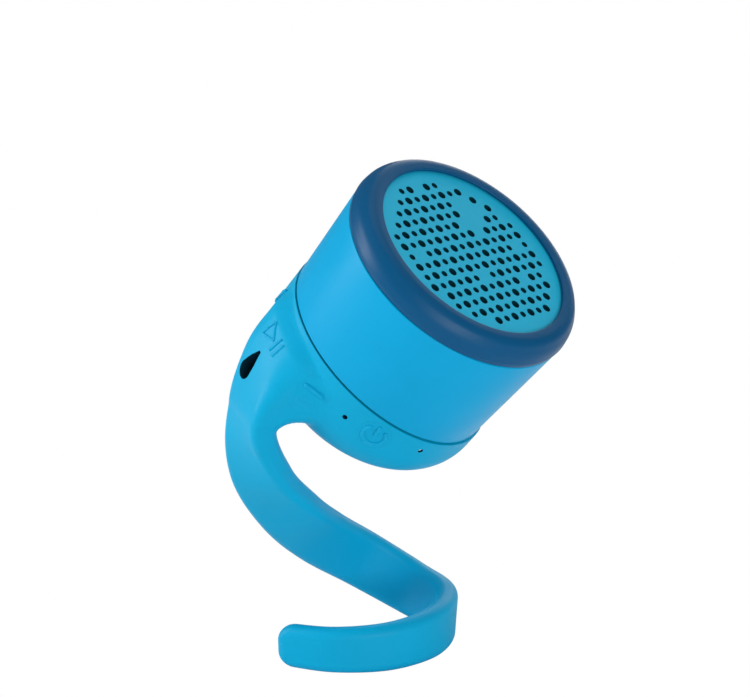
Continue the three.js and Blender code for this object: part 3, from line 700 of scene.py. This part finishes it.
def material(name, colour, roughness, grain=0.1, grain_size=3000.0, mottle=0.04, marks=0.04, **principled):
    made = bpy.data.materials.new(name)
    made.use_nodes = True
    tree = made.node_tree
    shader = tree.nodes["Principled BSDF"]
    surface = tree.nodes.new("ShaderNodeGroup")
    surface.node_tree = MOULDED
    surface.inputs["Colour"].default_value = (*colour, 1)
    for key, value in (("Roughness", roughness), ("Grain", grain), ("Grain size", grain_size),
                       ("Mottle", mottle), ("Marks", marks)):
        surface.inputs[key].default_value = value
    tree.links.new(surface.outputs["Colour"], shader.inputs["Base Color"])
    tree.links.new(surface.outputs["Roughness"], shader.inputs["Roughness"])
    tree.links.new(surface.outputs["Normal"], shader.inputs["Normal"])
    for key, value in principled.items():
        shader.inputs[key.replace("_", " ")].default_value = value
    return made


# each look is the finish of the record's material slot of the same name
LOOKS = {
    "shell": material("shell", (0.0, 0.335, 0.62), 0.36, grain=0.12, grain_size=2600.0, mottle=0.03,
                      Specular_IOR_Level=0.12),
    "boot_silicone": material("boot_silicone", (0.0, 0.35, 0.60), 0.47, grain=0.22, grain_size=4200.0,
                              mottle=0.03, marks=0.05, Specular_IOR_Level=0.12),
    "bezel": material("bezel", (0.0, 0.075, 0.195), 0.38, grain=0.1, grain_size=2600.0, mottle=0.03,
                      Specular_IOR_Level=0.16),
    "grille": material("grille", (0.012, 0.40, 0.62), 0.45, grain=0.15, grain_size=3200.0, mottle=0.02,
                       Specular_IOR_Level=0.12),
    "black_mesh": material("black_mesh", (0.001, 0.004, 0.006), 0.8, grain=0.6, grain_size=1800.0,
                           mottle=0.2),
    "steel": material("steel", (0.42, 0.43, 0.45), 0.32, grain=0.08, grain_size=900.0, Metallic=1.0),
    "magnet": material("magnet", (0.03, 0.03, 0.032), 0.6, grain=0.5, grain_size=1500.0, mottle=0.2),
    "paper": material("paper", (0.012, 0.012, 0.014), 0.8, grain=0.8, grain_size=1300.0, mottle=0.25),
    "black_rubber": material("black_rubber", (0.01, 0.01, 0.011), 0.6, grain=0.3),
    "copper": material("copper", (0.45, 0.17, 0.07), 0.35, grain=0.3, grain_size=2200.0, Metallic=0.9),
    "board": material("board", (0.01, 0.08, 0.03), 0.42, grain=0.15, mottle=0.15),
    "black_plastic": material("black_plastic", (0.015, 0.016, 0.018), 0.5, grain=0.2),
    "battery": material("battery", (0.32, 0.35, 0.38), 0.38, grain=0.5, grain_size=500.0, mottle=0.08),
    "lead": material("lead", (0.35, 0.02, 0.015), 0.45, grain=0.1),
    "clear_white": material("clear_white", (0.75, 0.78, 0.8), 0.3, grain=0.05, Transmission_Weight=0.3),
}
# painted shade: a dark material for cut walls in holes, inside the boot and in the seam's gap
PAINTED_SHADE_WALL = material("painted_shade_wall", (0.0, 0.03, 0.055), 0.7, grain=0.3, Specular_IOR_Level=0.1)


def finish_with(thing, name, with_painted_shade=False):
    thing.data.materials.clear()
    thing.data.materials.append(LOOKS[name])
    # a second, dark material that paints shade on walls in holes and gaps
    if with_painted_shade:
        thing.data.materials.append(PAINTED_SHADE_WALL)
    return thing


def paint_shade_on_walls(name, axis):
    """Paints shade into a look's colour on surfaces that turn away from the axis, such as the walls of holes."""
    tree = LOOKS[name].node_tree
    shader = tree.nodes["Principled BSDF"]
    source = shader.inputs["Base Color"].links[0].from_socket
    surface = tree.nodes.new("ShaderNodeNewGeometry")
    facing = add(tree, "ShaderNodeVectorMath", operation="DOT_PRODUCT")
    facing.inputs[1].default_value = axis
    tree.links.new(surface.outputs["Normal"], facing.inputs[0])
    wall_shade = tree.nodes.new("ShaderNodeMapRange")
    wall_shade.inputs["From Min"].default_value = 0.35
    wall_shade.inputs["From Max"].default_value = 0.85
    wall_shade.inputs["To Min"].default_value = 0.08
    tree.links.new(facing.outputs["Value"], wall_shade.inputs["Value"])
    shade = add(tree, "ShaderNodeVectorMath", operation="SCALE")
    tree.links.new(source, shade.inputs[0])
    tree.links.new(wall_shade.outputs["Result"], shade.inputs["Scale"])
    tree.links.new(shade.outputs["Vector"], shader.inputs["Base Color"])


# painted shade on the walls of the grille's holes
paint_shade_on_walls("grille", pod_turn[:, 2])

for part in record["subparts"]:
    shown = nodes[part["node"]]
    shown.data.materials.clear()
    shown.data.materials.append(LOOKS[part["material_slot"]])

# ---------------------------------------------------------------- camera
CAMERA_HEIGHT, CAMERA_BACK, CAMERA_DOWN = 200.35, -510.0, 13.616
eye = bpy.data.cameras.new("eye")
eye.lens, eye.sensor_width = 100, 36
eye.clip_start, eye.clip_end = 0.01, 20
camera = bpy.data.objects.new("camera", eye)
camera.location = Vector((np.array([0, CAMERA_BACK, CAMERA_HEIGHT]) + SHIFT) * MM)
camera.rotation_euler = (math.radians(90 - CAMERA_DOWN), 0, 0)
bpy.context.scene.collection.objects.link(camera)
bpy.context.scene.camera = camera


# ---------------------------------------------------------------- shell
def make_shell():
    low = BOOT_CORNER - 4
    slope = (SHELL_TOP_RADIUS - SEAM_RADIUS) / (SHELL_TOP - SEAM_HEIGHT)
    foot = SEAM_RADIUS - slope * (SEAM_HEIGHT - low)
    upper = turned("housing_shell", rounded([
        (0, low), (foot, low), (SHELL_TOP_RADIUS, SHELL_TOP, 0.35), (0, SHELL_TOP),
    ]), 200)
    boolean(upper, above_seam_tool(SEAM_WIDTH / 2), "INTERSECT")
    inset = BOOT_WALL + GAP
    lower = turned("lower", boot_profile(BOOT_RADIUS - inset, BOOT_CORNER - inset, inset, LEDGE_TOP), 200)
    boolean(upper, lower, "UNION")
    wall = inset + WALL_IN_BOOT
    cup = boot_profile(BOOT_RADIUS - wall, BOOT_CORNER - wall, wall, TAPER_FROM, 10)
    cavity = turned("cavity", [
        *cup[:-1], (SHELL_INNER, 30), (SHELL_INNER, 40),
        (LEDGE_RADIUS, LEDGE_TOP - LEDGE_DEPTH), (LEDGE_RADIUS, LEDGE_TOP),
        (MOUTH_RADIUS, LEDGE_TOP), (MOUTH_RADIUS, SHELL_TOP + 1.6), (0, SHELL_TOP + 1.6),
    ], 120)
    boolean(upper, cavity)
    wide, high = 1.8, 3.8
    socket = [(-wide, -high), (wide, -high), (wide, high), (-wide, high)]
    boolean(upper, radial_prism(socket, SLOT_ANGLE, SOCKET_HEIGHT, 16, 31))
    for angle, _ in KEYS.values():
        boolean(upper, radial_prism(circle(1.6, 20), angle, KEY_HEIGHT, 20, 29))
    for angle in PINHOLES:
        boolean(upper, radial_prism(circle(0.7, 16), angle, KEY_HEIGHT, 20, 29))
    smooth_by_angle(upper, 30)
    finish_with(upper, "shell", with_painted_shade=True)
    # faces nearer the axis than the boot's inside wall, seen only through the gap under the boot's rim, get
    # painted shade
    for polygon in upper.data.polygons:
        local = to_pod(np.array(polygon.center) / MM)
        if math.hypot(local[0], local[1]) < BOOT_RADIUS - BOOT_WALL + 0.1:
            polygon.material_index = 1
    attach(upper, "pod")
    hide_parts("housing")


# ---------------------------------------------------------------- bezel and grille
def make_bezel():
    lip_under = POD_HEIGHT + GAP
    groove = GRILLE_RADIUS + GAP
    top = lip_under + 0.9
    outline = rounded([
        (BEZEL_MOUTH, lip_under, 0.12), (groove, lip_under), (groove, 54.1), (26.2, 54.1), (26.2, 52.4),
        (28, 52.4), (28, 50.0), (28.6, 50.0), (28.6, 50.7), (31.25, 50.7, 0.3),
        (BEZEL_RADIUS - 0.1, 51.9, 1.6), (31.0, 54.3, 4.5), (28.9, top, 3.4), (BEZEL_MOUTH, top - 0.15, 0.5),
    ], 9)
    ring = turned("bezel", outline, 220)
    smooth_by_angle(ring, 32)
    finish_with(ring, "bezel")
    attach(ring, "pod")
    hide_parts("bezel_ring")


def grille_holes():
    turn = math.radians(GRID_TURN)
    reach = math.ceil((HOLE_FIELD + math.hypot(*GRID_SHIFT)) / HOLE_PITCH)
    for i in range(-reach, reach + 1):
        for j in range(-reach, reach + 1):
            x = HOLE_PITCH * (i * math.cos(turn) - j * math.sin(turn)) + GRID_SHIFT[0]
            y = HOLE_PITCH * (i * math.sin(turn) + j * math.cos(turn)) + GRID_SHIFT[1]
            bare = (i, j) in BARE_PATCH or (i, j) in OVER_SUPPORTS
            if bare or math.hypot(x, y) > HOLE_FIELD - BIG_HOLE / 2:
                continue
            yield x, y, (BIG_HOLE if (i + j) % 2 == 0 else SMALL_HOLE) / 2


def make_grille():
    """A plate with round holes whose rims are softened."""
    flat = bpy.data.curves.new("plate", "CURVE")
    flat.dimensions = "2D"
    flat.fill_mode = "BOTH"
    soft = 0.1
    flat.bevel_depth = soft * MM
    flat.bevel_resolution = 3
    flat.offset = -soft * MM
    flat.extrude = (GRILLE_THICKNESS / 2 - soft) * MM

    def loop(x, y, radius, count):
        spline = flat.splines.new("POLY")
        spline.points.add(count - 1)
        for k in range(count):
            a = 2 * math.pi * k / count
            at = (x + radius * math.cos(a), y + radius * math.sin(a))
            spline.points[k].co = (at[0] * MM, at[1] * MM, 0, 1)
        spline.use_cyclic_u = True

    loop(0, 0, GRILLE_RADIUS, 180)
    for x, y, r in grille_holes():
        loop(x, y, r, 26)
    made = bpy.data.objects.new("plate", flat)
    bpy.context.scene.collection.objects.link(made)
    bpy.context.view_layer.update()
    mesh = bpy.data.meshes.new_from_object(made.evaluated_get(bpy.context.evaluated_depsgraph_get()))
    bpy.data.objects.remove(made)
    bpy.data.curves.remove(flat)
    plate = bpy.data.objects.new("grille_plate", mesh)
    bpy.context.scene.collection.objects.link(plate)
    mesh.transform(pod_radial(0, POD_HEIGHT - GRILLE_THICKNESS / 2))
    work = bmesh.new()
    work.from_mesh(mesh)
    bmesh.ops.remove_doubles(work, verts=work.verts, dist=1e-7)
    work.to_mesh(mesh)
    work.free()
    mesh.shade_smooth()
    height = to_pod(vertex_places(mesh) / MM)[:, 2]
    normals = np.array([v.normal[:] for v in mesh.vertices])
    normals[height > POD_HEIGHT - 0.005] = pod_turn[:, 2]
    normals[height < POD_HEIGHT - GRILLE_THICKNESS + 0.005] = -pod_turn[:, 2]
    set_normals(plate, normals)
    finish_with(plate, "grille")
    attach(plate, "pod")
    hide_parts("grille")


# ---------------------------------------------------------------- boot, keys and tail
def symbol(name, angle):
    """The raised lines of a key's symbol, as separate meshes."""
    line = dict(key_angle=angle, key_height=KEY_HEIGHT)
    if name == "volume_down":
        return [bead(resample([(-2.7, 0), (2.7, 0)]), 1.3, 0.75, name="bar", **line)]
    if name == "volume_up":
        return [bead(resample([(-2.7, 0), (2.7, 0)]), 1.3, 0.75, name="bar", **line),
                bead(resample([(0, -2.7), (0, 2.7)]), 1.3, 0.75, name="bar", **line)]
    if name == "power":
        lean = math.radians(90)
        arc = [(2.85 * math.cos(a), 2.85 * math.sin(a))
               for a in np.linspace(lean + 0.62, lean + 2 * math.pi - 0.62, 40)]
        return [bead(resample(arc), 1.2, 0.55, name="arc", **line),
                bead(resample([(0, 0.1), (0, 3.5)]), 1.2, 0.55, name="bar", **line)]
    triangle = [(-3.4, 0.2), (-3.4, 2.4), (0.3, 0), (-3.4, -2.4), (-3.4, 0.2)]
    return [bead(resample(triangle), 0.62, 0.42, name="play", **line),
            bead(resample([(1.5, -2.3), (1.5, 2.3)]), 0.7, 0.42, name="pause", **line),
            bead(resample([(3.1, -2.3), (3.1, 2.3)]), 0.7, 0.42, name="pause", **line)]


def make_boot():
    boot = skin_solid()
    inside = boot_profile(BOOT_RADIUS - BOOT_WALL, BOOT_CORNER - BOOT_WALL, BOOT_WALL, 40)
    boolean(boot, turned("tool", inside, 120))
    boolean(boot, above_seam_tool(-SEAM_WIDTH / 2))
    centre, along, across, face = (v[0] for v in strap_frames(NECK_CUT))
    corners = [(x, y, z) for z in (0, 12) for x, y in ((-16, -8), (16, -8), (16, 8), (-16, 8))]
    block = [centre + across * x + face * y + along * z for x, y, z in corners]
    faces = [(3, 2, 1, 0), (4, 5, 6, 7), (0, 1, 5, 4), (1, 2, 6, 5), (2, 3, 7, 6), (3, 0, 4, 7)]
    tool = make_mesh("tool", block, faces)
    fix_outward(tool)
    boolean(boot, tool)
    caps = {}
    for name, (angle, radius) in KEYS.items():
        tool = radial_prism(circle(radius, 72), angle, KEY_HEIGHT, BOOT_RADIUS - 1.3, BOOT_RADIUS + 8)
        cap = bpy.data.objects.new(f"key_cap_{name}", boot.data.copy())
        bpy.context.scene.collection.objects.link(cap)
        boolean(cap, tool, "INTERSECT")
        caps[name] = cap
    for angle, radius in KEYS.values():
        boolean(boot, radial_prism(circle(radius + 0.012, 72), angle, KEY_HEIGHT, 24, BOOT_RADIUS + 8))
    for angle in PINHOLES:
        boolean(boot, radial_prism(circle(PINHOLE_RADIUS, 28), angle, KEY_HEIGHT, 24, BOOT_RADIUS + 4))
    boolean(boot, radial_prism(teardrop(), SLOT_ANGLE, SLOT_HEIGHT, 22, BOOT_RADIUS + 14))
    finish_with(boot, "boot_silicone", with_painted_shade=True)
    shade_skin(boot)
    boot.name = "boot_skin"
    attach(boot, "pod")
    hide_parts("boot")
    for name, cap in caps.items():
        finish_with(cap, "boot_silicone", with_painted_shade=True)
        shade_skin(cap)
        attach(cap, f"{name}_key")
        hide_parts(f"key_{name}")
        marks = joined(symbol(name, KEYS[name][0]), f"symbol_{name}")
        fix_outward(marks)
        marks.data.shade_smooth()
        finish_with(marks, "boot_silicone")
        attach(marks, f"{name}_key")


def tip_runs(start):
    """Runs to the tip, closer together where it rounds off."""
    straight = np.arange(start, TAIL_LENGTH - TIP_ROUND, 0.8)
    turn = np.linspace(0, math.pi / 2, 16)
    return np.r_[straight, TAIL_LENGTH - TIP_ROUND + TIP_ROUND * np.sin(turn)]


def make_tail():
    bends = [ROOT_RUN + i * LINK for i in range(LINKS)]
    cuts = [NECK_CUT] + [bend + LINK / 2 for bend in bends]
    bodies = ["pod"] + [f"tail_{i + 1}" for i in range(LINKS)]
    for i in range(LINKS + 1):
        last = i == LINKS
        runs = tip_runs(cuts[i]) if last else np.linspace(cuts[i], cuts[i + 1], 33)
        piece, normals = strap_mesh(f"tail_skin_{i + 1}", runs, 8)
        mesh = piece.data
        points = vertex_places(mesh)
        grounded = points[:, 2] < 0
        points[grounded, 2] = 0
        normals[grounded] = (0, 0, -1)
        mesh.vertices.foreach_set("co", points.ravel())
        mesh.update()
        own = np.array([len(p.vertices) > 4 for p in mesh.polygons])
        if last:
            rounding = np.repeat(runs, len(points) // len(runs)) > TAIL_LENGTH - TIP_ROUND - 0.5
            normals[rounding] = np.array([v.normal[:] for v in mesh.vertices])[rounding]
            own[:] = False
        set_normals(piece, normals, own)
        finish_with(piece, "boot_silicone")
        if last:
            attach(piece, bodies[-1])
            continue
        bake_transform(piece)
        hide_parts(f"tail_link_{i + 1}")
    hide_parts("tail_link_6")


# ---------------------------------------------------------------- studio
def lamp(name, place, size, power, colour=(1, 1, 1)):
    """A soft rectangle of light at a place in metres that points at the middle of the object."""
    light = bpy.data.lights.new(name, "AREA")
    light.shape = "RECTANGLE"
    light.size, light.size_y = size
    light.energy = power
    light.color = colour
    thing = bpy.data.objects.new(name, light)
    thing.location = place
    aim = Vector((0, 0, 0.065)) - thing.location
    thing.rotation_euler = aim.to_track_quat("-Z", "Y").to_euler()
    bpy.context.scene.collection.objects.link(thing)


def make_studio():
    world = bpy.data.worlds.new("studio")
    bpy.context.scene.world = world
    world.use_nodes = True
    tree = world.node_tree
    background = tree.nodes["Background"]
    path = tree.nodes.new("ShaderNodeLightPath")
    shade = None
    for ray, level in (("Is Glossy Ray", 0.1), ("Is Camera Ray", 1.0)):
        mix = tree.nodes.new("ShaderNodeMix")
        mix.data_type = "RGBA"
        mix.inputs["A"].default_value = (0.42, 0.42, 0.42, 1)
        mix.inputs["B"].default_value = (level, level, level, 1)
        tree.links.new(path.outputs[ray], mix.inputs["Factor"])
        if shade:
            tree.links.new(shade, mix.inputs["A"])
        shade = mix.outputs["Result"]
    tree.links.new(shade, background.inputs["Color"])
    lamp("side", (-0.9, 0.0, 0.45), (0.4, 0.6), 7.0)
    lamp("front", (0.35, -0.87, 0.12), (0.6, 0.4), 5.0)
    lamp("top", (0.1, 0.1, 0.9), (0.6, 0.6), 1.2)
    lamp("back", (0.3, 0.8, 0.4), (0.6, 0.6), 2.5)
    mesh = bpy.data.meshes.new("floor")
    size = 3.0
    corners = [(-size, -size, 0), (size, -size, 0), (size, size, 0), (-size, size, 0)]
    mesh.from_pydata(corners, [], [(0, 1, 2, 3)])
    floor = bpy.data.objects.new("floor", mesh)
    floor.location.z = -0.0002
    bpy.context.scene.collection.objects.link(floor)
    pale = bpy.data.materials.new("pale")
    pale.use_nodes = True
    tree = pale.node_tree
    shader = tree.nodes["Principled BSDF"]
    shader.inputs["Base Color"].default_value = (0.85, 0.85, 0.85, 1)
    shader.inputs["Roughness"].default_value = 0.9
    glow = add(tree, "ShaderNodeEmission", Strength=1.0)
    path = tree.nodes.new("ShaderNodeLightPath")
    mix = tree.nodes.new("ShaderNodeMixShader")
    tree.links.new(path.outputs["Is Camera Ray"], mix.inputs["Fac"])
    tree.links.new(shader.outputs["BSDF"], mix.inputs[1])
    tree.links.new(glow.outputs["Emission"], mix.inputs[2])
    tree.links.new(mix.outputs["Shader"], tree.nodes["Material Output"].inputs["Surface"])
    mesh.materials.append(pale)


make_shell()
make_bezel()
make_grille()
make_boot()
make_tail()
make_studio()
bpy.context.scene.view_settings.view_transform = "Standard"
